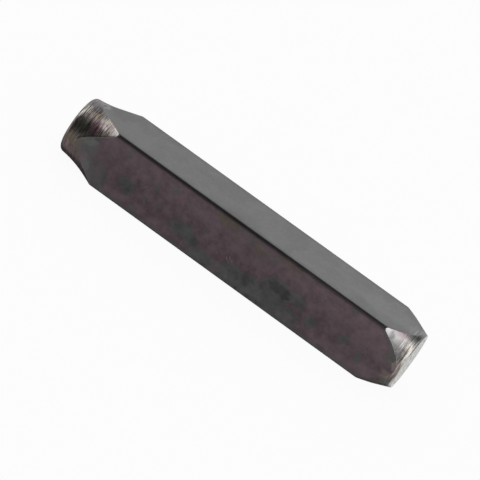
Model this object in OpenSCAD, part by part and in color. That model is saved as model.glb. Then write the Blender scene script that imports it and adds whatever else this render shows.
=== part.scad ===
// Metal design stamp: a hand punch that presses a small rosette into soft sheet metal.
// It is one piece of square tool steel. One end is turned to a blunt head with a hollow
// neck, which takes the hammer. The other is turned to a short cone with a flat face.
// The stamp lies on one flat of its bar, with +X along the bar to the working face.

/* [Bar] */
// Width of the square bar across its flats
bar_w = 10; // [9:0.1:12]
// Length of the stamp over both ends
stamp_l = 62; // [50:0.5:80]
// Radius on the four long edges of the bar
edge_r = 0.6; // [0.3:0.05:1]

/* [Struck head] */
// Diameter of the blunt nose before its rim is rounded
nose_d = 9.5; // [8:0.1:10]
// Radius rounded on the rim of the nose
rim_r = 0.8; // [0.4:0.05:1.2]
// Radius of the hollow curve turned from the nose out through the corners
hollow_r = 17.5; // [12:0.5:24]
// Angle between the bar's axis and the hollow curve where it starts
hollow_start = 3; // [1:0.5:8]

/* [Working end] */
// Diameter of the flat working face
face_d = 9.5; // [9:0.1:10]
// Angle between the bar's axis and the cone turned behind the working face
cone_angle = 22; // [18:0.5:35]

/* [Rosette] */
// Number of petals sunk in the working face
petals = 8; // [5:1:9]
// Distance from the centre of the face to the inner tip of a petal
petal_start = 1.05; // [0.9:0.05:1.2]
// Length of a petal from tip to tip
petal_l = 2.1; // [1.6:0.05:2.2]
// Width of a petal at its middle, where it is half as deep
petal_w = 0.8; // [0.5:0.05:0.9]
// Diameter of the ring groove round the rosette's eye
eye_d = 1.2; // [0.9:0.05:1.3]
// Width of that ring groove
eye_groove_w = 0.3; // [0.15:0.05:0.35]
// Diameter of the round dot sunk between two petals
dot_d = 0.6; // [0.4:0.05:0.7]
// Distance from the centre of the face to a dot
dot_at = 2.9; // [2.7:0.05:3]
// Width of the ring groove that frames the rosette
frame_groove_w = 0.4; // [0.2:0.05:0.5]
// Plain land left between that groove and the rim of the face
frame_land = 0.65; // [0.5:0.05:0.7]

/* [Hidden] */
$fn = 96;
nose_r = nose_d / 2;
face_r = face_d / 2;
// Radius outside the bar's corners, where both turned ends start
turning_r = bar_w;
// Length of the cone from the working face back to the turning radius
cone_l = (turning_r - face_r) / tan(cone_angle);
// Centre of the hollow curve, as its radius and its distance from the struck end
hollow_centre = [nose_r + hollow_r * cos(hollow_start), -hollow_r * sin(hollow_start)];
// Centre of the rim's rounding, which touches the end of the head and the hollow curve
rim_reach = sqrt((hollow_r + rim_r) ^ 2 - (rim_r - hollow_centre.y) ^ 2);
rim_centre = [hollow_centre.x - rim_reach, rim_r];
// Point where the rim's rounding runs into the hollow curve
rim_end = rim_centre + rim_r / (hollow_r + rim_r) * (hollow_centre - rim_centre);
// Radius of the two arcs that bound a petal
petal_arc_r = (petal_l ^ 2 + petal_w ^ 2) / (4 * petal_w);
frame_groove_r = face_r - frame_land - frame_groove_w / 2;

// Square section of the bar with its corners rounded
module bar_section() {
    core_w = bar_w - 2 * edge_r;
    square([bar_w, core_w], center = true);
    square([core_w, bar_w], center = true);
    for (x = [-1, 1], y = [-1, 1])
        translate([x * core_w / 2, y * core_w / 2])
            circle(r = edge_r);
}

// Half outline of the turning: its radius along X, and the length from the struck end along Y
module turned_outline() {
    difference() {
        polygon([
            [0, 0],
            [rim_centre.x, 0],
            rim_centre,
            rim_end,
            [turning_r, rim_end.y],
            [turning_r, stamp_l - cone_l],
            [face_r, stamp_l],
            [0, stamp_l]
        ]);
        translate(hollow_centre)
            circle(r = hollow_r, $fn = 4 * $fn);
    }
    translate(rim_centre)
        circle(r = rim_r);
}

// Bar with both ends turned, standing on its struck end
module turned_bar() {
    intersection() {
        linear_extrude(height = stamp_l)
            bar_section();
        rotate_extrude()
            turned_outline();
    }
}

// Round groove of half-round section, centred on the surface that it is cut in
module ring_groove(radius, width) {
    rotate_extrude()
        translate([radius, 0])
            circle(d = width, $fn = 32);
}

// Pointed cutter for one petal: two arcs turned about the petal's own length
module petal_cutter() {
    rotate([0, 90, 0])
        rotate_extrude()
            intersection() {
                translate([petal_w / 2 - petal_arc_r, 0])
                    circle(r = petal_arc_r, $fn = 4 * $fn);
                translate([0, -petal_l])
                    square([petal_w, 2 * petal_l]);
            }
}

// Everything that is sunk in the working face, centred on the face
module rosette() {
    step = 360 / petals;
    for (i = [0 : petals - 1]) {
        rotate([0, 0, i * step])
            translate([petal_start + petal_l / 2, 0, 0])
                petal_cutter();
        rotate([0, 0, (i + 0.5) * step])
            translate([dot_at, 0, 0])
                sphere(d = dot_d, $fn = 32);
    }
    ring_groove(eye_d / 2, eye_groove_w);
    ring_groove(frame_groove_r, frame_groove_w);
}

// The whole stamp, laid on a flat with its origin at the middle of that flat
module stamp() {
    color("dimgray")
        translate([-stamp_l / 2, 0, bar_w / 2])
            rotate([0, 90, 0])
                difference() {
                    turned_bar();
                    translate([0, 0, stamp_l])
                        rosette();
                }
}

stamp();
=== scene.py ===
# %% [markdown]
# This lesson dresses a metal design stamp: one square steel bar, turned to a blunt head
# at one end and to a short cone with a flat, patterned face at the other. The packed
# model comes first, as a fixed frame. Everything after it is measured against that.

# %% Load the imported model
import math

import bpy
import numpy as np
from mathutils import Matrix, Vector


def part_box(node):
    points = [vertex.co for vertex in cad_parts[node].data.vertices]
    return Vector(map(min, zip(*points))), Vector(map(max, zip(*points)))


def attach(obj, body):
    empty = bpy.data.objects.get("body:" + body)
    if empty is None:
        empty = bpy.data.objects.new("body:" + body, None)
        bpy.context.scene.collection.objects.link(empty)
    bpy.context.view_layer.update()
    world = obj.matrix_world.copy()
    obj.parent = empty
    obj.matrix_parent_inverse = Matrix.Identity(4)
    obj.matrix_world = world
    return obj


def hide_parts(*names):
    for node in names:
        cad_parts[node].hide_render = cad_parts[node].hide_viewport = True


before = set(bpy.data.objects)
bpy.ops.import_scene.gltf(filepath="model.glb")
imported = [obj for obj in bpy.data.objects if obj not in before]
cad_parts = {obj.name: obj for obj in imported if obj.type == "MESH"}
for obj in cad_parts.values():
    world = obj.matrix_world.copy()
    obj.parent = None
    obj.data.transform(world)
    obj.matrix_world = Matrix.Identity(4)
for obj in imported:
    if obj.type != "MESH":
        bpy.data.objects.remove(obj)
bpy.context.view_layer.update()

MM = 0.001  # one millimetre in Blender's metres
low, high = (np.array(corner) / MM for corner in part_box("stamp"))
stamp_l, bar_w = float(high[0] - low[0]), float(high[2] - low[2])
print("stamp length and bar width, mm:", round(stamp_l, 3), round(bar_w, 3))

# %% [markdown]
# The camera stands as far off as a studio camera with a long lens does, so the bar's
# edges hardly converge. It looks down at the front edge and is rolled about its own
# axis, which makes the bar lie across the picture from upper left to lower right.
# Setting the three axes of its matrix by hand keeps the roll exact.

# %% Camera at the photograph's viewing angle
view_turn = math.radians(8.96)  # the camera stands a little towards the working end
view_rise = math.radians(27.82)  # and above the bar
view_roll = math.radians(31.58)
view_distance = 567.6  # mm
lens_mm, sensor_mm = 283.2, 36
aim_right, aim_up = -0.33, 0.20  # mm from the middle of the stamp to the picture's centre

back = Vector((math.sin(view_turn) * math.cos(view_rise), -math.cos(view_turn) * math.cos(view_rise), math.sin(view_rise)))
level = Vector((math.cos(view_turn), math.sin(view_turn), 0))
upright = back.cross(level)
right = level * math.cos(view_roll) + upright * math.sin(view_roll)
up = upright * math.cos(view_roll) - level * math.sin(view_roll)
middle = Vector((0, 0, bar_w / 2))
place = (middle + right * aim_right + up * aim_up + back * view_distance) * MM

lens = bpy.data.cameras.new("long_lens")
lens.lens = lens_mm
lens.sensor_width = sensor_mm
lens.clip_start, lens.clip_end = 0.01, 50
camera = bpy.data.objects.new("camera", lens)
camera.matrix_world = Matrix.Translation(place) @ Matrix((right, up, back)).transposed().to_4x4()
bpy.context.scene.collection.objects.link(camera)
bpy.context.scene.camera = camera
print("camera distance, mm:", view_distance, "lens, mm:", lens_mm)

# %% [markdown]
# The stamp's form comes from two tools. A square bar with rounded edges gives one
# radius for each direction round the axis. The lathe gives one radius for each place
# along the axis. The finished surface is wherever the smaller of the two is, so each
# edge between flat and turned metal can be worked out exactly, as a place along the bar.

# %% Sizes of the form, in millimetres
edge_r = 0.6  # rounding of the four long edges
nose_r = 4.75  # blunt nose, before its rim is rounded
rim_r = 0.8
hollow_r = 17.5  # hollow curve behind the nose
hollow_start = math.radians(3)
face_r = 4.75  # flat working face
cone_angle = math.radians(22)
half_w = bar_w / 2

hollow_centre = np.array([nose_r + hollow_r * math.cos(hollow_start), -hollow_r * math.sin(hollow_start)])
rim_reach = math.sqrt((hollow_r + rim_r) ** 2 - (rim_r - hollow_centre[1]) ** 2)
rim_centre = np.array([hollow_centre[0] - rim_reach, rim_r])
rim_end = rim_centre + rim_r / (hollow_r + rim_r) * (hollow_centre - rim_centre)
print("flat of the nose, mm across:", round(2 * rim_centre[0], 2))


# %% Curves of the turned ends
def hollow_radius(x):
    """Radius of the hollow curve at x: its centre's radius less the reach of its arc there."""
    return hollow_centre[0] - np.sqrt(hollow_r**2 - (x - hollow_centre[1]) ** 2)


def hollow_place(radius):
    """Place along the bar where the hollow curve has that radius: the same circle, solved for x."""
    return hollow_centre[1] + np.sqrt(hollow_r**2 - (hollow_centre[0] - radius) ** 2)


def cone_radius(x):
    """Radius of the cone at x: the face's radius plus the distance from the face times the cone's slope."""
    return face_r + (stamp_l - x) * math.tan(cone_angle)


def cone_place(radius):
    """Place along the bar where the cone has that radius."""
    return stamp_l - (radius - face_r) / math.tan(cone_angle)


# %% [markdown]
# The skin is one grid of columns and rows. Columns are directions round the axis, close
# together on the rounded edges and wider on the flats. Rows run from the struck end to
# the working end, and they bend with the edges between flat and turned metal, so no
# quad straddles an edge. Two extra rows beside each edge keep the shading crisp.

# %% Columns round the axis
FLAT_COLUMNS, EDGE_COLUMNS = 48, 12
core = half_w - edge_r
quarter = np.pi / 2
flat_reach = math.atan2(core, half_w)
flat_angles = np.linspace(-flat_reach, flat_reach, FLAT_COLUMNS + 1)
turn = np.linspace(0, quarter, EDGE_COLUMNS + 1)[1:-1]
edge_angles = np.arctan2(core + edge_r * np.sin(turn), core + edge_r * np.cos(turn))
one_side = np.concatenate([flat_angles, edge_angles])
around = (one_side[None, :] + quarter * np.arange(4)[:, None]).ravel()


def bar_radius(angle):
    """Distance from the axis to the bar's surface: half the width over the cosine on a flat, the far
    crossing of the ray with the edge's circle beyond it."""
    folded = (angle + quarter / 2) % quarter - quarter / 2
    across, beside = np.cos(folded), np.abs(np.sin(folded))
    reach = core * (across + beside)
    circle = reach + np.sqrt(np.maximum(reach**2 - 2 * core**2 + edge_r**2, 0))
    flat = half_w / across
    return np.where(flat * beside > core, circle, flat)


bar_r = bar_radius(around)
head_edge, cone_edge = hollow_place(bar_r), cone_place(bar_r)
print("columns:", len(around), "edge of the head, mm:", head_edge.min().round(2), "to", head_edge.max().round(2))

# %% Rows from the struck end to the rim of the working face
HEAD, BAR, CONE, FACE, SUNK = range(5)  # material slots
CRISP = 0.04  # mm between an edge and the rows that guard it
WORN = 0.7  # mm, guard rows this far off let the rim of the working face shade as if it was worn round
ones = np.ones(len(around))


def rows_between(start, stop, count, crisp_start=False, crisp_stop=False):
    """Rows of places from start to stop, each a straight share of the way, with guard rows by a crisp edge."""
    share = np.linspace(0, 1, count + 1)[:, None]
    rows = start + (stop - start) * share
    if crisp_start:
        rows = np.vstack([rows[:1], rows[:1] + CRISP, rows[1:]])
    if crisp_stop:
        rows = np.vstack([rows[:-1], rows[-1:] - CRISP, rows[-1:]])
    return rows


nose_rows = np.linspace(0.1, 1, 12)[:, None] * rim_centre[0] * ones
rim_stop = math.atan2(rim_end[0] - rim_centre[0], rim_centre[1] - rim_end[1])
rim_turn = np.linspace(0, rim_stop, 13)[1:, None] * ones
hollow_x = rows_between(rim_end[1] * ones, head_edge, 40, crisp_stop=True)[1:]
bar_x = rows_between(head_edge, cone_edge, 30, crisp_start=True, crisp_stop=True)[1:]
worn_from = np.maximum(stamp_l - WORN, (stamp_l + cone_edge) / 2)
cone_x = rows_between(cone_edge, worn_from, 26, crisp_start=True)[1:]
cone_x = np.vstack([cone_x, stamp_l * ones])

skin_x = np.vstack([0 * nose_rows, rim_centre[1] - rim_r * np.cos(rim_turn), hollow_x, bar_x, cone_x])
skin_r = np.vstack([nose_rows, rim_centre[0] + rim_r * np.sin(rim_turn), hollow_radius(hollow_x), bar_r * np.ones((len(bar_x), 1)), cone_radius(cone_x)])
row_slots = np.repeat([HEAD, BAR, CONE], [len(nose_rows) + len(rim_turn) + len(hollow_x) - 1, len(bar_x), len(cone_x)])
print("rows:", len(skin_x), "quads:", row_slots.size * len(around))

# %% [markdown]
# The rosette is sunk in the working face. Each petal is two arcs turned about the
# petal's length, so it is pointed at both ends and deepest in the middle. Dots and ring
# grooves are round in section. One function gives the depth at every point of the
# face, which is a finer grid of rings, with twice the columns of the bar.

# %% Depth of the rosette
PETALS = 8
petal_start, petal_l, petal_w = 1.05, 2.1, 0.8
eye_r, eye_groove = 0.6, 0.3
dot_r, dot_at = 0.3, 2.9
frame_groove = 0.4
frame_land = 0.65  # plain land outside the frame's groove
frame_r = face_r - frame_land - frame_groove / 2
petal_arc = (petal_l**2 + petal_w**2) / (4 * petal_w)


def dish(reach, distance):
    """Depth of a cut with a circular section: the root of its reach squared less the distance squared."""
    return np.sqrt(np.maximum(reach**2 - distance**2, 0))


def rosette_depth(radius, angle):
    """Depth at a point of the face: the deepest of petals, dots, eye ring and frame ring."""
    radius, angle = np.broadcast_arrays(radius, angle)
    step = 2 * np.pi / PETALS
    to_petal = (angle + step / 2) % step - step / 2
    along = radius * np.cos(to_petal) - petal_start - petal_l / 2
    side = radius * np.sin(to_petal)
    half_petal = np.where(np.abs(along) < petal_l / 2, dish(petal_arc, along) - petal_arc + petal_w / 2, 0)
    to_dot = angle % step - step / 2
    from_dot = np.hypot(radius * np.cos(to_dot) - dot_at, radius * np.sin(to_dot))
    cuts = [dish(half_petal, side), dish(dot_r, from_dot), dish(eye_groove / 2, radius - eye_r), dish(frame_groove / 2, radius - frame_r)]
    return np.maximum.reduce(cuts)


# %% Rings of the working face
face_around = np.concatenate([around, (around + np.append(around[1:], around[0] + 2 * np.pi)) / 2])
face_around = np.stack([face_around[: len(around)], face_around[len(around) :]], axis=1).ravel()
edges_of_rings = [frame_r + frame_groove / 2, frame_r - frame_groove / 2, eye_r + eye_groove / 2, eye_r - eye_groove / 2]
ring_radii = np.unique(np.concatenate([np.linspace(0.06, face_r - 0.12, 100), edges_of_rings]).round(4))[::-1]
face_depth = rosette_depth(ring_radii[:, None], face_around[None, :])
print("rings:", len(ring_radii), "deepest cut, mm:", face_depth.max().round(3))

# %% [markdown]
# Rows and rings become one closed mesh. Every point also carries what its finish needs:
# how far it is along the turned profile, from the middle of each end outwards, so that
# tool marks follow the lathe, how near it is to the edge between flat and turned
# metal, where the oxide is greyed by heat and where painted shade and a painted
# highlight lie, and how far it faces up.


# %% Points of the whole skin
def in_space(x, radius, angle):
    """Points in metres: x along the bar from its middle, then the radius turned about the axis from the top
    towards the front."""
    axis_height = low[2] + half_w
    points = [x + low[0], -radius * np.sin(angle), axis_height + radius * np.cos(angle)]
    return np.stack(np.broadcast_arrays(*points), axis=-1).reshape(-1, 3) * MM


face_x = stamp_l - face_depth
points = np.vstack([
    in_space(skin_x, skin_r, around),
    in_space(face_x, ring_radii[:, None], face_around),
    in_space(np.zeros(1), 0.0, 0.0),
    in_space(np.full(1, stamp_l), 0.0, 0.0),
])
head_turned = np.vstack([nose_rows, rim_centre[0] + rim_r * rim_turn])
hollow_turned = rim_centre[0] + rim_r * rim_stop + (hollow_x - rim_end[1])
cone_turned = face_r + (stamp_l - cone_x) / math.cos(cone_angle)
bar_turned = np.full_like(bar_x, head_turned.max())
turned = np.concatenate([a.ravel() for a in (head_turned, hollow_turned, bar_turned, cone_turned, ring_radii[:, None] * np.ones(len(face_around)))] + [[0, 0]])
def whole_skin(skin_values, face_value):
    """One value for each point: the grid's own, then the same one for every point of the face and the poles."""
    return np.concatenate([np.broadcast_to(skin_values, skin_x.shape).ravel(), np.full(face_x.size + 2, face_value)])


FAR = 9.0  # mm
past_head = whole_skin(skin_x - head_edge, FAR)  # below zero on the turned head
before_cone = whole_skin(cone_edge - skin_x, -FAR)  # below zero on the cone
facing_up = whole_skin(np.clip((np.cos(around) - np.abs(np.sin(around))) / (2 * math.sin(quarter / 2 - flat_reach)) + 0.5, 0, 1), 0)
print("points:", len(points))


# %% Faces of the whole skin
def strip(first, count):
    """Quads between successive rows of count points: each point, the next, and the two above them."""
    here = first[:, None] + np.arange(count)
    after = first[:, None] + (np.arange(count) + 1) % count
    return np.stack([here, after, after + count, here + count], axis=-1).reshape(-1, 4)


columns, fine = len(around), len(face_around)
face_start = skin_x.size
nose_point, face_point = face_start + face_x.size, face_start + face_x.size + 1
skin_quads = strip(np.arange(len(skin_x) - 1) * columns, columns)
face_quads = strip(face_start + np.arange(len(face_x) - 1) * fine, fine)

j, k = np.arange(columns), np.arange(fine)
last_row = (len(skin_x) - 1) * columns
last_ring = face_start + (len(face_x) - 1) * fine
nose_fan = np.stack([np.full(columns, nose_point), (j + 1) % columns, j], axis=-1)
rim_strip = np.stack([last_row + j, last_row + (j + 1) % columns, face_start + (2 * j + 2) % fine, face_start + 2 * j + 1, face_start + 2 * j], axis=-1)
face_fan = np.stack([last_ring + k, last_ring + (k + 1) % fine, np.full(fine, face_point)], axis=-1)

SHALLOW = 0.01  # mm, a cut less deep than this is still the ground face
quad_depth = (face_depth[:-1] + face_depth[1:]) / 2
quad_depth = (quad_depth + np.roll(quad_depth, -1, axis=1)) / 2
face_slots = np.where(quad_depth.ravel() > SHALLOW, SUNK, FACE)
slots = np.concatenate([np.repeat(row_slots, columns), face_slots, np.full(columns, HEAD), np.full(columns, FACE), np.full(fine, FACE)])
faces = [*skin_quads.tolist(), *face_quads.tolist(), *nose_fan.tolist(), *rim_strip.tolist(), *face_fan.tolist()]

mesh = bpy.data.meshes.new("stamp_body")
mesh.from_pydata(points.tolist(), [], faces)
mesh.polygons.foreach_set("material_index", slots.astype(np.int32))
mesh.polygons.foreach_set("use_smooth", np.ones(len(faces), bool))
for name, values in (("turned_mm", turned), ("past_head", past_head), ("before_cone", before_cone), ("facing_up", facing_up)):
    mesh.attributes.new(name, "FLOAT", "POINT").data.foreach_set("value", values.astype(np.float32))
mesh.validate()
mesh.update()
stamp = bpy.data.objects.new("stamp_body", mesh)
bpy.context.scene.collection.objects.link(stamp)
triangles = sum(len(face) - 2 for face in faces)
print("triangles:", triangles)

# %% Join it to the frame
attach(stamp, "root")
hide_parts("stamp")

# %% [markdown]
# Finishes are built from nodes. Colours are written as hex values, as a paint chart
# gives them, and one function turns them to the linear light that shaders use. Another
# adds a node, sets it and links it, so each material reads as a list of steps.


# %% Helpers for materials
def linear(hex_colour):
    """Linear light of an sRGB hex colour: a twelfth part of the value near black, a power curve above."""
    values = [int(hex_colour[i : i + 2], 16) / 255 for i in (0, 2, 4)]
    return [v / 12.92 if v <= 0.04045 else ((v + 0.055) / 1.055) ** 2.4 for v in values] + [1]


def add_node(tree, kind, inputs=None, ramp=None, **settings):
    """Adds a node. Settings are its properties, inputs are values or sockets to link, by name or number,
    and ramp lists the places and hex colours of a colour ramp."""
    node = tree.nodes.new(kind)
    for name, value in settings.items():
        setattr(node, name, value)
    for name, value in (inputs or {}).items():
        if isinstance(value, bpy.types.NodeSocket):
            tree.links.new(value, node.inputs[name])
        else:
            node.inputs[name].default_value = value
    if ramp:
        elements = node.color_ramp.elements
        while len(elements) < len(ramp):
            elements.new(1)
        for element, (spot, colour) in zip(elements, ramp):
            element.position = spot
            element.color = linear(colour)
    return node


def new_material(name):
    """A material with an empty tree and its surface shader, already joined to the output."""
    material = bpy.data.materials.new(name)
    material.use_nodes = True
    tree = material.node_tree
    tree.nodes.clear()
    shader = add_node(tree, "ShaderNodeBsdfPrincipled")
    add_node(tree, "ShaderNodeOutputMaterial", {"Surface": shader.outputs[0]})
    return material, tree, shader


def millimetres(tree):
    """Object coordinates in millimetres, measured from the bar's axis half way along it."""
    place = add_node(tree, "ShaderNodeTexCoord").outputs["Object"]
    moved = add_node(tree, "ShaderNodeVectorMath", {0: place, 1: (1 / MM,) * 3, 2: (0, 0, -half_w)}, operation="MULTIPLY_ADD")
    return moved.outputs[0]


# %% [markdown]
# The flats keep the oxide skin that hardening and oiling leave on tool steel. It is
# dark and slightly glossy, and brown-purple where the film is thin. Greenish grey
# patches lie where it is thick: their places on the front flat are listed, and
# noise bends their outlines. The upper flat is given a more even neutral grey, a
# painted reflection of the soft light above it. Painted shade darkens the rounded
# long edges. Beside the turned ends, heat and handling have turned the film grey,
# and a painted highlight brightens its edge beside the head.

# %% Oxide on the flats
PATCHES = [  # mm along the bar, mm above its middle, half length, half height, depth of tone
    (3.4, -2.0, 3.4, 1.3, 0.35), (9.2, -0.2, 2.6, 1.3, 1.45), (12.9, 0.0, 1.5, 1.2, 0.6), (6.6, -3.0, 8.0, 1.8, 0.85),
    (-7.7, -1.8, 2.3, 1.6, 0.95), (-18.7, -1.1, 1.5, 1.3, 1.15), (-22.4, -2.6, 1.1, 1.7, 0.6), (-3.6, -3.5, 2.4, 1.0, 0.7),
    (21.4, -0.8, 0.9, 1.0, 0.65), (16.0, -1.6, 0.9, 0.9, 0.8), (24.8, -2.1, 0.8, 0.9, 0.75), (-11.4, 3.2, 0.6, 0.9, 0.6),
    (-20.2, 3.7, 1.0, 0.6, 0.55), (-14.4, 1.4, 0.5, 0.6, 0.55), (20.8, 4.1, 1.0, 0.5, 0.55), (25.0, 0.4, 0.5, 0.5, 0.55),
    (-18.4, 2.0, 0.5, 0.5, 0.45), (-14.8, -0.9, 0.5, 0.5, 0.5), (-12.4, -1.0, 0.5, 0.4, 0.45), (-4.5, 0.4, 0.7, 0.5, 0.5),
    (-5.0, -1.8, 0.6, 0.4, 0.5), (18.2, -0.4, 0.8, 0.6, 0.4), (-16.2, -3.4, 0.9, 0.5, 0.5), (28.4, 1.6, 0.5, 1.0, 0.5),
]  # fmt: skip
FLAT_STAINS = [  # mm along, towards the back and up from the middle of the axis; three half sizes; colour; share
    (-28.6, -5.0, 0.4, 1.0, 3.0, 1.8, "948A80", 0.85), (-27.2, -5.0, -1.3, 1.1, 3.0, 0.9, "9C8790", 0.7),
    (-28.0, 0.3, 5.0, 0.4, 0.9, 3.0, "B8B8B8", 0.6), (-2.4, -5.0, 4.0, 2.6, 3.0, 0.8, "80785F", 0.5), (3.4, -5.0, 3.3, 1.3, 3.0, 0.9, "80785F", 0.5),
    (9.0, -5.0, 4.2, 4.0, 3.0, 0.5, "84786C", 0.45), (-4.6, -5.0, 2.4, 1.2, 3.0, 0.7, "8C7488", 0.4),
    (29.0, -5.0, 1.7, 0.8, 3.0, 1.3, "7E7E7C", 0.7), (29.7, -5.0, -1.5, 0.9, 3.0, 0.9, "A08E88", 0.8), (30.0, -5.0, 0.8, 0.5, 3.0, 0.8, "BCAEAC", 0.7), (24.0, 0.0, 5.0, 5.0, 2.4, 3.0, "959595", 0.5), (29.4, -0.6, 5.0, 1.3, 1.8, 3.0, "9C9C9C", 0.6),
    (-26.6, -5.0, 0.6, 1.6, 3.0, 1.6, "8C8C8A", 0.5), (-24.2, -5.0, -2.0, 1.6, 3.0, 2.0, "8A8886", 0.35),
    (-26.9, -5.0, 1.4, 1.2, 3.0, 0.7, "9A9A9A", 0.5), (-25.9, -5.0, -2.5, 0.9, 3.0, 1.5, "9C9C9C", 0.55),
    (3.0, -4.4, 5.0, 9.0, 0.9, 3.0, "747474", 0.4), (-22.5, -2.0, 5.0, 5.0, 2.6, 3.0, "949494", 0.45), (-25.0, 2.6, 5.0, 3.0, 1.6, 3.0, "7E7E7E", 0.4),
]  # fmt: skip
TOP_SMEARS = [  # thin and pale, in line with the cone's rings
    (29.6, -0.7, 5.0, 0.13, 1.1, 3.0, "BCBCBC", 0.6), (30.5, 0.4, 5.0, 0.5, 1.4, 3.0, "B8B8B8", 0.6),
]  # fmt: skip
# Spots on the head: temper tints and dark marks, while the white and near-white ones are painted highlights.
HEAD_STAINS_AND_HIGHLIGHTS = [
    (-30.7, -3.4, 3.2, 0.4, 0.6, 0.6, "FFFFFF", 0.8), (-28.3, -2.6, 4.3, 1.1, 0.8, 0.6, "9A8C7C", 0.6),
    (-24.6, -4.75, 4.2, 1.0, 0.4, 0.5, "A0928C", 0.8), (-26.2, -3.9, 4.35, 0.6, 0.5, 0.5, "F4ECE8", 0.6),
    (-30.2, -4.4, 1.9, 0.7, 0.6, 0.7, "6E6A62", 0.6),
    (-30.3, -2.4, 4.0, 0.8, 1.3, 1.0, "F8F0E4", 0.9), (-29.7, -5.0, -0.4, 1.2, 1.6, 1.3, "C2B6A2", 0.85),
    (-29.7, -4.6, -2.0, 1.3, 1.5, 1.3, "D2B8BC", 0.8), (-27.2, -4.3, 3.2, 1.0, 1.0, 0.9, "98707E", 0.7),
    (-29.0, -4.4, 2.5, 1.3, 1.2, 1.2, "86867E", 0.8), (-23.8, -4.6, 4.8, 1.2, 1.5, 1.5, "E2DCD8", 0.7),
]  # fmt: skip
# Spots on the cone: temper tints and stains, while the near-white ones are painted highlights.
CONE_STAINS_AND_HIGHLIGHTS = [
    (27.0, -4.6, 4.3, 0.5, 0.8, 0.6, "9C9A9C", 0.8), (29.0, -3.9, 3.9, 0.6, 0.6, 0.6, "B8B0AE", 0.6),
    (29.9, -4.2, 3.1, 0.5, 0.5, 0.5, "FFFAF4", 0.9), (30.5, -4.45, 2.2, 0.4, 0.4, 0.4, "8E8A86", 0.8),
    (30.4, -2.4, 4.4, 0.3, 0.4, 0.4, "E6E6E4", 0.6),
    (26.1, -4.7, 4.8, 0.8, 1.0, 1.0, "F2F0F0", 0.7), (28.0, -3.2, 4.9, 1.2, 0.9, 0.7, "C0A6B0", 0.65),
    (30.3, -3.8, 3.4, 0.7, 1.3, 1.5, "EADFD0", 0.6), (30.3, -4.9, -1.2, 0.7, 1.5, 1.1, "DCC8BE", 0.8),
    (30.4, -4.2, -2.9, 0.9, 1.3, 1.1, "C6C8C4", 0.7), (30.0, -1.8, 4.8, 0.7, 0.9, 0.9, "B4B4B2", 0.6),
    (30.3, -5.0, 0.8, 0.6, 1.5, 0.9, "D8C2B2", 0.7),
    (28.6, -5.0, -3.2, 0.9, 1.5, 0.9, "B09498", 0.7), (26.8, -5.0, -4.4, 0.9, 1.5, 0.9, "A8A8A4", 0.6),
]  # fmt: skip
HEAD_SCRATCHES = [
    (-25.6, -4.3, 4.1, 0.12, 0.9, 0.6, "665C56", 0.8), (-26.6, -4.0, 3.8, 0.13, 0.8, 0.6, "665C56", 0.7),
    (-24.7, -4.4, 4.6, 0.1, 0.6, 0.5, "7E746E", 0.8), (-28.6, -3.2, 3.9, 0.16, 0.7, 0.6, "6C625C", 0.7),
    (-26.1, -4.6, 3.6, 0.1, 0.7, 0.5, "665C56", 0.7), (-25.1, -4.7, 4.0, 0.1, 0.6, 0.5, "665C56", 0.7),
]  # fmt: skip
# The thin marks are scratches, and the wider white ones near the rim are painted highlights.
CONE_SCRATCHES_AND_HIGHLIGHTS = [  # thin along the bar, so each is a piece of a ring
    (29.05, -4.3, 3.4, 0.07, 1.3, 1.3, "FFFFFF", 0.7), (30.15, -4.8, 1.9, 0.06, 1.3, 1.3, "FFF6EC", 0.7),
    (30.55, -4.2, 2.6, 0.08, 1.5, 1.5, "FFFFFF", 0.8), (29.75, -4.9, 1.5, 0.05, 0.9, 0.9, "F0E4DC", 0.6),
    (29.7, -4.0, 3.2, 0.06, 1.3, 1.3, "70675F", 0.7), (30.85, -3.5, 3.3, 0.12, 0.8, 0.8, "FFFFFF", 0.6), (30.2, -4.3, 2.7, 0.12, 0.7, 0.7, "FFFAF2", 0.8),
]  # fmt: skip
SCRATCHES = [  # mm along, mm above the middle, half length in mm, tilt in degrees
    (0.17, -1.26, 0.4, -28), (0.51, -0.84, 0.3, -30), (1.07, -1.19, 0.28, -34), (0.6, -1.6, 0.28, -24), (15.9, 3.2, 0.12, 0), (-16.0, 0.6, 0.4, 40),
]  # fmt: skip


def spot(tree, place, centre, halves, tilt=0.0):
    """One inside an ellipsoid and nothing outside it: its own distance, faded between half and one and a half."""
    local = add_node(tree, "ShaderNodeMapping", {"Vector": place, "Location": centre, "Rotation": (0, tilt, 0), "Scale": halves}, vector_type="TEXTURE")
    reach = add_node(tree, "ShaderNodeVectorMath", {0: local.outputs[0]}, operation="LENGTH").outputs["Value"]
    return add_node(tree, "ShaderNodeMapRange", {0: reach, 1: 1.35, 2: 0.55, 3: 0.0, 4: 1.0}, interpolation_type="SMOOTHSTEP").outputs[0]


def mix_stains_and_highlights(tree, colour, place, stains_and_highlights):
    """Mixes each spot's colour into a colour, by its share times how far the point is inside its ellipsoid. The spots
    are stains, and on the turned ends also painted highlights.
    """
    for x, y, z, half_l, half_w, half_h, tint, share in stains_and_highlights:
        inside = spot(tree, place, (x, y, z), (half_l, half_w, half_h))
        part = add_node(tree, "ShaderNodeMath", {0: inside, 1: share}, operation="MULTIPLY").outputs[0]
        colour = add_node(tree, "ShaderNodeMix", {0: part, 6: colour, 7: linear(tint)}, data_type="RGBA").outputs[2]
    return colour


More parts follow.
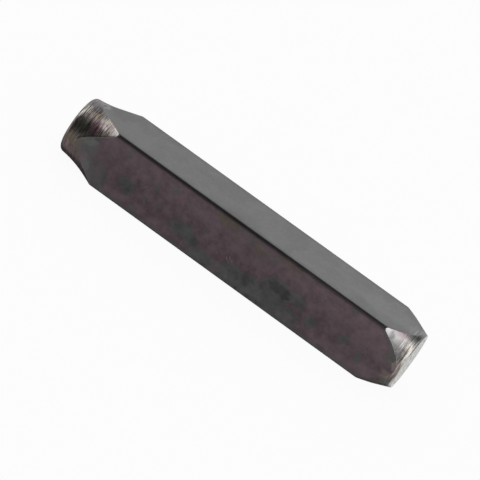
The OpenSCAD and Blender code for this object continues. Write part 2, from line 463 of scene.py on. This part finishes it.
def oxide_skin():
    """Black oxide on ground tool steel: metallic and dark, with colour patches, fine speckle and scratches, painted
    shade along the long edges, a painted reflection on the upper flat and a painted highlight beside the head.
    """
    material, tree, shader = new_material("oxide_tool_steel")
    place = millimetres(tree)
    cloud_mm, speckle_mm = 1.6, 0.3
    clouds = add_node(tree, "ShaderNodeTexNoise", {"Vector": place, "Scale": 1 / cloud_mm, "Detail": 4, "Roughness": 0.6})
    speckle = add_node(tree, "ShaderNodeTexNoise", {"Vector": place, "Scale": 1 / speckle_mm, "Detail": 2})
    swirl = add_node(tree, "ShaderNodeVectorMath", {0: clouds.outputs["Color"], 1: (3.4,) * 3, 2: (-1.7,) * 3}, operation="MULTIPLY_ADD")
    bent = add_node(tree, "ShaderNodeVectorMath", {0: place, 1: swirl.outputs[0]}, operation="ADD").outputs[0]
    loose = add_node(tree, "ShaderNodeTexNoise", {"Vector": bent, "Scale": 1 / 5.5, "Detail": 1})
    front = add_node(tree, "ShaderNodeSeparateXYZ", {0: place})
    elsewhere = add_node(tree, "ShaderNodeMapRange", {0: front.outputs[1], 1: 1 - half_w, 2: 3 - half_w, 3: 0.0, 4: 1.0})
    thick = add_node(tree, "ShaderNodeMapRange", {0: loose.outputs["Fac"], 1: 0.54, 2: 0.62, 3: 0.0, 4: elsewhere.outputs[0]}).outputs[0]
    for x, z, half_l, half_h, tone in PATCHES:
        one = spot(tree, bent, (x, -half_w, z), (half_l, 3.0, half_h))
        thick = add_node(tree, "ShaderNodeMath", {0: one, 1: tone, 2: thick}, operation="MULTIPLY_ADD").outputs[0]
    low_edge = add_node(tree, "ShaderNodeMapRange", {0: front.outputs[2], 1: -3.6, 2: -4.7, 3: 0.0, 4: 0.75})
    thick = add_node(tree, "ShaderNodeMath", {0: thick, 1: low_edge.outputs[0]}, operation="ADD").outputs[0]
    past_head = add_node(tree, "ShaderNodeAttribute", attribute_name="past_head").outputs["Fac"]
    before_cone = add_node(tree, "ShaderNodeAttribute", attribute_name="before_cone").outputs["Fac"]
    ragged = add_node(tree, "ShaderNodeMath", {0: clouds.outputs["Fac"], 1: 2.0, 2: -1.0}, operation="MULTIPLY_ADD")
    below = add_node(tree, "ShaderNodeMath", {0: front.outputs[2], 1: 0.0}, operation="MINIMUM")
    slanted = add_node(tree, "ShaderNodeMath", {0: below.outputs[0], 1: 0.75, 2: front.outputs[0]}, operation="MULTIPLY_ADD").outputs[0]
    for edge, reach_mm, fade_mm, upper, lower in ((slanted, -25.2, 0.7, 5.0, 4.0), (before_cone, 1.2, 0.6, 0.2, 2.2)):
        moved = add_node(tree, "ShaderNodeMath", {0: edge, 1: ragged.outputs[0]}, operation="ADD")
        greyed = add_node(tree, "ShaderNodeMapRange", {0: moved.outputs[0], 1: reach_mm, 2: reach_mm - fade_mm, 3: 0.0, 4: 0.62}).outputs[0]
        where = add_node(tree, "ShaderNodeMapRange", {0: front.outputs[2], 1: upper, 2: lower, 3: 0.1, 4: 1.0}).outputs[0]
        heat = add_node(tree, "ShaderNodeMath", {0: greyed, 1: where}, operation="MULTIPLY").outputs[0]
        thick = add_node(tree, "ShaderNodeMath", {0: thick, 1: heat}, operation="MAXIMUM").outputs[0]
    blotches = add_node(tree, "ShaderNodeTexNoise", {"Vector": place, "Scale": 1 / 0.55, "Detail": 2})
    uneven = add_node(tree, "ShaderNodeMath", {0: blotches.outputs["Fac"], 1: 0.7, 2: thick}, operation="MULTIPLY_ADD")
    share = add_node(tree, "ShaderNodeMath", {0: uneven.outputs[0], 1: 0.7, 2: -0.245}, operation="MULTIPLY_ADD")
    film = add_node(tree, "ShaderNodeValToRGB", {"Fac": share.outputs[0]}, ramp=[(0.0, "8F7C83"), (0.2, "87757A"), (0.45, "7E7D7C"), (0.75, "7A7B7A"), (1.0, "676867")])
    # Besides its mottle, the film's tone changes with place alone: darker from the upper edge down to below the middle,
    # less dark in the lowest band, and lighter towards the working end.
    upward = add_node(tree, "ShaderNodeMapRange", {0: front.outputs[2], 1: -1.6, 2: 4.0, 3: -0.26, 4: 0.0})
    lowest = add_node(tree, "ShaderNodeMapRange", {0: front.outputs[2], 1: -1.6, 2: -4.0, 3: 0.0, 4: 0.16})
    rightmost = add_node(tree, "ShaderNodeMapRange", {0: front.outputs[0], 1: 14.0, 2: 28.0, 3: 0.0, 4: 0.13})
    mottle_and_height_tone = add_node(tree, "ShaderNodeMapRange", {0: clouds.outputs["Fac"], 1: 0.3, 2: 0.7, 3: 0.8, 4: 1.19})
    for more in (upward, lowest, rightmost):
        mottle_and_height_tone = add_node(tree, "ShaderNodeMath", {0: mottle_and_height_tone.outputs[0], 1: more.outputs[0]}, operation="ADD")
    tone = add_node(tree, "ShaderNodeVectorMath", {0: film.outputs["Color"], 1: mottle_and_height_tone.outputs[0]}, operation="MULTIPLY")
    # The upper flat gets a neutral grey of its own in place of the front's film colour: a painted reflection of the
    # soft light above it.
    top_reflection_grey = add_node(tree, "ShaderNodeValToRGB", {"Fac": loose.outputs["Fac"]}, ramp=[(0.38, "848484"), (0.5, "898989"), (0.62, "8E8E8E")])
    spotty = add_node(tree, "ShaderNodeMath", {0: blotches.outputs["Fac"], 1: clouds.outputs["Fac"]}, operation="ADD")
    spotted = add_node(tree, "ShaderNodeMapRange", {0: spotty.outputs[0], 1: 0.7, 2: 1.3, 3: 0.94, 4: 1.06})
    top_reflection_grey = add_node(tree, "ShaderNodeVectorMath", {0: top_reflection_grey.outputs["Color"], 1: spotted.outputs[0]}, operation="MULTIPLY")
    up_side = add_node(tree, "ShaderNodeAttribute", attribute_name="facing_up").outputs["Fac"]
    colour = add_node(tree, "ShaderNodeMix", {0: up_side, 6: tone.outputs[0], 7: top_reflection_grey.outputs[0]}, data_type="RGBA")
    grain = add_node(tree, "ShaderNodeMapRange", {0: speckle.outputs["Fac"], 1: 0.3, 2: 0.7, 3: 0.95, 4: 1.05})
    colour = mix_stains_and_highlights(tree, mix_stains_and_highlights(tree, colour.outputs[2], bent, FLAT_STAINS), place, TOP_SMEARS)
    colour = add_node(tree, "ShaderNodeVectorMath", {0: colour, 1: grain.outputs[0]}, operation="MULTIPLY").outputs[0]
    # The rounded long edges are darkened strongly, and a wider band beside them a little: painted shade.
    sides = [add_node(tree, "ShaderNodeMath", {0: front.outputs[i]}, operation="ABSOLUTE").outputs[0] for i in (1, 2)]
    lower_by = add_node(tree, "ShaderNodeMapRange", {0: front.outputs[0], 1: 2.0, 2: 12.0, 3: 0.21, 4: 0.29})
    lowered = add_node(tree, "ShaderNodeMath", {0: sides[1], 1: lower_by.outputs[0]}, operation="SUBTRACT")
    corner = add_node(tree, "ShaderNodeMath", {0: sides[0], 1: lowered.outputs[0]}, operation="MINIMUM")
    painted_arris_shade = add_node(tree, "ShaderNodeMapRange", {0: corner.outputs[0], 1: core, 2: core + 0.24, 3: 1.0, 4: 0.26})
    shaded = add_node(tree, "ShaderNodeMapRange", {0: corner.outputs[0], 1: core - 0.9, 2: core + 0.1, 3: 1.0, 4: 0.86})
    for darker in (painted_arris_shade, shaded):
        colour = add_node(tree, "ShaderNodeVectorMath", {0: colour, 1: darker.outputs[0]}, operation="MULTIPLY").outputs[0]
    # A painted highlight brightens the flat along its edge to the head, away from the corners, and the listed scratches
    # are mixed in with it as pale marks.
    edge_highlight_and_scratches = add_node(tree, "ShaderNodeMapRange", {0: past_head, 1: 0.3, 2: 0.05, 3: 0.0, 4: 0.45}).outputs[0]
    off_tip = add_node(tree, "ShaderNodeMapRange", {0: corner.outputs[0], 1: 1.5, 2: 2.6, 3: 0.0, 4: 1.0})
    edge_highlight_and_scratches = add_node(tree, "ShaderNodeMath", {0: edge_highlight_and_scratches, 1: off_tip.outputs[0]}, operation="MULTIPLY").outputs[0]
    for x, z, half_h, tilt in SCRATCHES:
        one = spot(tree, place, (x, -half_w, z), (0.08, 1.0, half_h), math.radians(tilt))
        edge_highlight_and_scratches = add_node(tree, "ShaderNodeMath", {0: one, 1: 0.35, 2: edge_highlight_and_scratches}, operation="MULTIPLY_ADD").outputs[0]
    final = add_node(tree, "ShaderNodeMix", {0: edge_highlight_and_scratches, 6: colour, 7: linear("B4ACAA")}, data_type="RGBA")
    rough = add_node(tree, "ShaderNodeMapRange", {0: thick, 1: 0.0, 2: 1.0, 3: 0.34, 4: 0.42})
    bump = add_node(tree, "ShaderNodeBump", {"Height": speckle.outputs["Fac"], "Strength": 0.25, "Distance": 0.004 * MM})
    tree.links.new(final.outputs[2], shader.inputs["Base Color"])
    tree.links.new(rough.outputs[0], shader.inputs["Roughness"])
    tree.links.new(bump.outputs[0], shader.inputs["Normal"])
    shader.inputs["Metallic"].default_value = 0.9
    return material


# %% [markdown]
# Both ends are bare steel from the lathe. The tool leaves fine rings whose spacing is
# its feed, a quarter of a millimetre or so, and torn streaks that run with them.
# Tempering then tints the metal straw, pink and purple. Rings and streaks follow the
# turned profile's length, so they lie right on the hollow, the cone and the ends.


# %% Turned steel
def turned_steel(name, feed_mm, tints, low_tint, streak_depth, calm, edge_shade_and_lift, stains_and_highlights, scratches_and_highlights):
    """Bare turned tool steel: rings a feed apart, broken by streaks along them, under faint temper colours.
    The streaks calm down between two places along the profile, to a share of their strength."""
    material, tree, shader = new_material(name)
    place = millimetres(tree)
    along = add_node(tree, "ShaderNodeAttribute", attribute_name="turned_mm").outputs["Fac"]
    flat = add_node(tree, "ShaderNodeVectorMath", {0: place, 1: (0, 1, 1)}, operation="MULTIPLY")
    way = add_node(tree, "ShaderNodeVectorMath", {0: flat.outputs[0]}, operation="NORMALIZE")
    parts = add_node(tree, "ShaderNodeSeparateXYZ", {0: way.outputs[0]})
    STRETCH = 2.2  # cells per radius, against cells a little finer than the feed along the profile
    cells = [along, parts.outputs[1], parts.outputs[2]]
    scaled = [add_node(tree, "ShaderNodeMath", {0: value, 1: rate}, operation="MULTIPLY").outputs[0] for value, rate in zip(cells, (1.4 / feed_mm, STRETCH, STRETCH))]
    stretched = add_node(tree, "ShaderNodeCombineXYZ", dict(enumerate(scaled)))
    streaks = add_node(tree, "ShaderNodeTexNoise", {"Vector": stretched.outputs[0], "Scale": 1.0, "Detail": 3, "Roughness": 0.6})
    phase = add_node(tree, "ShaderNodeMath", {0: along, 1: 2 * math.pi / feed_mm}, operation="MULTIPLY")
    ring = add_node(tree, "ShaderNodeMath", {0: phase.outputs[0]}, operation="SINE")
    height = add_node(tree, "ShaderNodeMath", {0: ring.outputs[0], 1: 0.06, 2: streaks.outputs["Fac"]}, operation="MULTIPLY_ADD")
    calmed = add_node(tree, "ShaderNodeMapRange", {0: along, 1: calm[0], 2: calm[1], 3: calm[2], 4: calm[3]})
    for low, high, at_low, at_high in ((-0.1, 0.5, 0.45, 1.0), (0.93, 0.99, 1.0, 0.4)):
        by_side = add_node(tree, "ShaderNodeMapRange", {0: parts.outputs[2], 1: low, 2: high, 3: at_low, 4: at_high})
        calmed = add_node(tree, "ShaderNodeMath", {0: calmed.outputs[0], 1: by_side.outputs[0]}, operation="MULTIPLY")
    relief = add_node(tree, "ShaderNodeMath", {0: height.outputs[0], 1: calmed.outputs[0]}, operation="MULTIPLY")
    bump = add_node(tree, "ShaderNodeBump", {"Height": relief.outputs[0], "Strength": 1.0, "Distance": streak_depth * MM})
    cloud_mm = 1.6
    clouds = add_node(tree, "ShaderNodeTexNoise", {"Vector": place, "Scale": 1 / cloud_mm, "Detail": 3, "Distortion": 0.6})
    tint = add_node(tree, "ShaderNodeValToRGB", {"Fac": clouds.outputs["Fac"]}, ramp=tints)
    # Towards its top side the turned metal is mixed with a plain grey.
    grey_top = add_node(tree, "ShaderNodeMapRange", {0: parts.outputs[2], 1: 0.8, 2: 0.96, 3: 0.0, 4: 0.85})
    toned = add_node(tree, "ShaderNodeMix", {0: grey_top.outputs[0], 6: tint.outputs["Color"], 7: linear("A4A4A4")}, data_type="RGBA")
    underside = add_node(tree, "ShaderNodeMapRange", {0: parts.outputs[2], 1: 0.2, 2: -0.25, 3: 0.0, 4: 0.8})
    toned = add_node(tree, "ShaderNodeMix", {0: underside.outputs[0], 6: toned.outputs[2], 7: linear(low_tint)}, data_type="RGBA")
    grooves = add_node(tree, "ShaderNodeMapRange", {0: height.outputs[0], 1: 0.38, 2: 0.62, 3: -0.6, 4: 0.3})
    groove_dirt_and_edge_shade = add_node(tree, "ShaderNodeMath", {0: grooves.outputs[0], 1: calmed.outputs[0], 2: 1.0}, operation="MULTIPLY_ADD")
    from_flats = [add_node(tree, "ShaderNodeAttribute", attribute_name=name).outputs["Fac"] for name in ("past_head", "before_cone")]
    from_flats = [add_node(tree, "ShaderNodeMath", {0: value}, operation="ABSOLUTE").outputs[0] for value in from_flats]
    nearest = add_node(tree, "ShaderNodeMath", {0: from_flats[0], 1: from_flats[1]}, operation="MINIMUM")
    # Beside the edges to the flats the turned metal is darkened on its upper front side as painted shade, and lightened
    # on its top side.
    beside = add_node(tree, "ShaderNodeMapRange", {0: nearest.outputs[0], 1: 0.5, 2: 0.05, 3: 0.0, 4: edge_shade_and_lift})
    painted_shade_side = add_node(tree, "ShaderNodeMapRange", {0: parts.outputs[2], 1: 0.0, 2: 0.3, 3: 0.0, 4: -1.0})
    lighter_top_side = add_node(tree, "ShaderNodeMapRange", {0: parts.outputs[2], 1: 0.66, 2: 0.74, 3: 0.0, 4: 1.5})
    by_side = add_node(tree, "ShaderNodeMath", {0: painted_shade_side.outputs[0], 1: lighter_top_side.outputs[0]}, operation="ADD")
    groove_dirt_and_edge_shade = add_node(tree, "ShaderNodeMath", {0: beside.outputs[0], 1: by_side.outputs[0], 2: groove_dirt_and_edge_shade.outputs[0]}, operation="MULTIPLY_ADD")
    swirl = add_node(tree, "ShaderNodeVectorMath", {0: clouds.outputs["Color"], 1: (1.6,) * 3, 2: (-0.8,) * 3}, operation="MULTIPLY_ADD")
    bent = add_node(tree, "ShaderNodeVectorMath", {0: place, 1: swirl.outputs[0]}, operation="ADD").outputs[0]
    toned = mix_stains_and_highlights(tree, mix_stains_and_highlights(tree, toned.outputs[2], bent, stains_and_highlights), place, scratches_and_highlights)
    colour = add_node(tree, "ShaderNodeVectorMath", {0: toned, 1: groove_dirt_and_edge_shade.outputs[0]}, operation="MULTIPLY")
    rough = add_node(tree, "ShaderNodeMapRange", {0: streaks.outputs["Fac"], 1: 0.3, 2: 0.7, 3: 0.22, 4: 0.34})
    tree.links.new(colour.outputs[0], shader.inputs["Base Color"])
    tree.links.new(rough.outputs[0], shader.inputs["Roughness"])
    tree.links.new(bump.outputs[0], shader.inputs["Normal"])
    shader.inputs["Metallic"].default_value = 1.0
    return material


# %% [markdown]
# The working face is ground flat and bright, with hair-fine parallel lines from the
# grinding wheel. Inside the cuts the metal is pale and matt, because they are blasted
# after cutting and the wheel never reaches them.


# %% Ground face and sunk rosette
def ground_steel(name, colour_hex, roughness, line_mm, metallic):
    """Ground steel: bright, with straight lines across the face that hardly show."""
    material, tree, shader = new_material(name)
    place = millimetres(tree)
    lines = add_node(tree, "ShaderNodeMapping", {"Vector": place, "Rotation": (math.radians(30), 0, 0), "Scale": (1, 1 / line_mm, 0.2)})
    grind = add_node(tree, "ShaderNodeTexNoise", {"Vector": lines.outputs[0], "Scale": 1.0, "Detail": 2})
    shade = add_node(tree, "ShaderNodeMapRange", {0: grind.outputs["Fac"], 1: 0.3, 2: 0.7, 3: 0.92, 4: 1.03})
    colour = add_node(tree, "ShaderNodeVectorMath", {0: linear(colour_hex)[:3], 1: shade.outputs[0]}, operation="MULTIPLY")
    bump = add_node(tree, "ShaderNodeBump", {"Height": grind.outputs["Fac"], "Strength": 0.3, "Distance": 0.002 * MM})
    tree.links.new(colour.outputs[0], shader.inputs["Base Color"])
    tree.links.new(bump.outputs[0], shader.inputs["Normal"])
    shader.inputs["Roughness"].default_value = roughness
    shader.inputs["Metallic"].default_value = metallic
    return material


head_tints = [(0.3, "C6BDB2"), (0.45, "BEB3A8"), (0.55, "B2A59F"), (0.66, "9C8B91")]
cone_tints = [(0.3, "D8D8D8"), (0.45, "D4D2D0"), (0.56, "CECACA"), (0.68, "C4B4B9")]
finishes = {
    HEAD: turned_steel("turned_head_steel", 0.27, head_tints, "B0A09E", 0.05, (7.5, 10.0, 1.35, 0.5), 0.65, HEAD_STAINS_AND_HIGHLIGHTS, HEAD_SCRATCHES),
    BAR: oxide_skin(),
    CONE: turned_steel("turned_cone_steel", 0.38, cone_tints, "B8B4B0", 0.04, (5.6, 7.4, 1.0, 0.22), 0.1, CONE_STAINS_AND_HIGHLIGHTS, CONE_SCRATCHES_AND_HIGHLIGHTS),
    FACE: ground_steel("ground_face_steel", "D8D8D6", 0.24, 0.08, 1.0),
    SUNK: ground_steel("blasted_cut_steel", "CFCFCC", 0.6, 0.2, 0.35),
}
for slot_number in sorted(finishes):
    mesh.materials.append(finishes[slot_number])
print("finishes:", [m.name for m in mesh.materials])

# %% [markdown]
# Polished metal shows its surroundings more than its own colour, so the studio is
# designed like a photographer's: a pale floor in a white room, and for reflections a
# dark room with a few large cards in it. The world can hold both, because a ray that
# has just left a glossy surface is known as such. The floor is left out of
# reflections, and the dark room's own floor takes its place.

# %% Pale floor
floor_half = 1.5  # metres
floor_drop = -0.02 * MM
floor_mesh = bpy.data.meshes.new("floor")
floor_mesh.from_pydata([(x * floor_half, y * floor_half, floor_drop) for x, y in ((-1, -1), (1, -1), (1, 1), (-1, 1))], [], [(0, 1, 2, 3)])
floor = bpy.data.objects.new("floor", floor_mesh)
bpy.context.scene.collection.objects.link(floor)
floor.visible_glossy = False
paper, paper_tree, paper_shader = new_material("white_paper")
SELF_LIT = 0.94  # share of the floor's light that no shadow takes away
paper_shader.inputs["Base Color"].default_value = (0.975 - SELF_LIT,) * 3 + (1,)
paper_shader.inputs["Roughness"].default_value = 1.0
paper_shader.inputs["Specular IOR Level"].default_value = 0.0
paper_shader.inputs["Emission Color"].default_value = (1, 1, 1, 1)
paper_shader.inputs["Emission Strength"].default_value = SELF_LIT
floor_mesh.materials.append(paper)

# %% World: a white room, and for reflections large cards in a dark one
world = bpy.data.worlds.new("studio")
bpy.context.scene.world = world
world.use_nodes = True
sky = world.node_tree
sky.nodes.clear()
direction = add_node(sky, "ShaderNodeTexCoord").outputs["Generated"]
height = add_node(sky, "ShaderNodeSeparateXYZ", {0: direction}).outputs[2]
dark_wall, dark_floor = 0.035, 0.19
light = add_node(sky, "ShaderNodeMapRange", {0: height, 1: 0.12, 2: -0.12, 3: dark_wall, 4: dark_floor}).outputs[0]
cards = [  # degrees from straight behind towards the working end, degrees up, half width, softness, brightness
    (-93, 42, 13, 11, 1.08),
    (-64, 58, 17, 12, 0.5),
    (-114, 70, 11, 10, 0.12),
    (-99, 20, 12, 12, 0.35),
    (136, 25, 10, 10, 0.36),
    (50, 6, 14, 14, 0.5),
    (68, 33, 12, 12, 0.3),
    (85, 57, 10, 12, 0.22),
    (107, 47, 16, 12, 1.1),
    (142, -18, 24, 16, 0.26),
    (104, 4, 18, 12, 0.7),
    (87, 24, 10, 14, 0.65),
    (56, 56, 22, 20, 0.1),
    (-24, 22, 27, 22, 0.42),
    (14, 14, 24, 22, 0.4),
    (9, -27, 12, 10, 0.6),
    (-30, -54, 24, 14, -0.14),
    (50, -62, 26, 20, -0.06),
    (80, -6, 26, 16, 0.6),
    (48, -38, 17, 10, 0.8),
    (-90, -10, 16, 16, 0.5),
    (-58, -8, 18, 12, 0.3),
]
for turn_deg, rise_deg, half_width, soft, strength in cards:
    turned_by, rise = math.radians(turn_deg), math.radians(rise_deg)
    towards = (math.sin(turned_by) * math.cos(rise), math.cos(turned_by) * math.cos(rise), math.sin(rise))
    aligned = add_node(sky, "ShaderNodeVectorMath", {0: direction, 1: towards}, operation="DOT_PRODUCT")
    inner, outer = (math.cos(math.radians(a)) for a in (max(half_width - soft / 2, 1), half_width + soft / 2))
    glow = add_node(sky, "ShaderNodeMapRange", {0: aligned.outputs["Value"], 1: outer, 2: inner, 3: 0.0, 4: strength}, interpolation_type="SMOOTHSTEP")
    light = add_node(sky, "ShaderNodeMath", {0: glow.outputs[0], 1: light}, operation="ADD").outputs[0]
dark_room = add_node(sky, "ShaderNodeBackground", {"Color": light})
white_room = add_node(sky, "ShaderNodeBackground", {"Color": (1, 1, 1, 1), "Strength": 1.05})
glossy = add_node(sky, "ShaderNodeLightPath").outputs["Is Glossy Ray"]
room = add_node(sky, "ShaderNodeMixShader", {0: glossy, 1: white_room.outputs[0], 2: dark_room.outputs[0]})
add_node(sky, "ShaderNodeOutputWorld", {"Surface": room.outputs[0]})
bpy.context.scene.view_settings.view_transform = "Standard"
print("cards in the dark room:", len(cards))
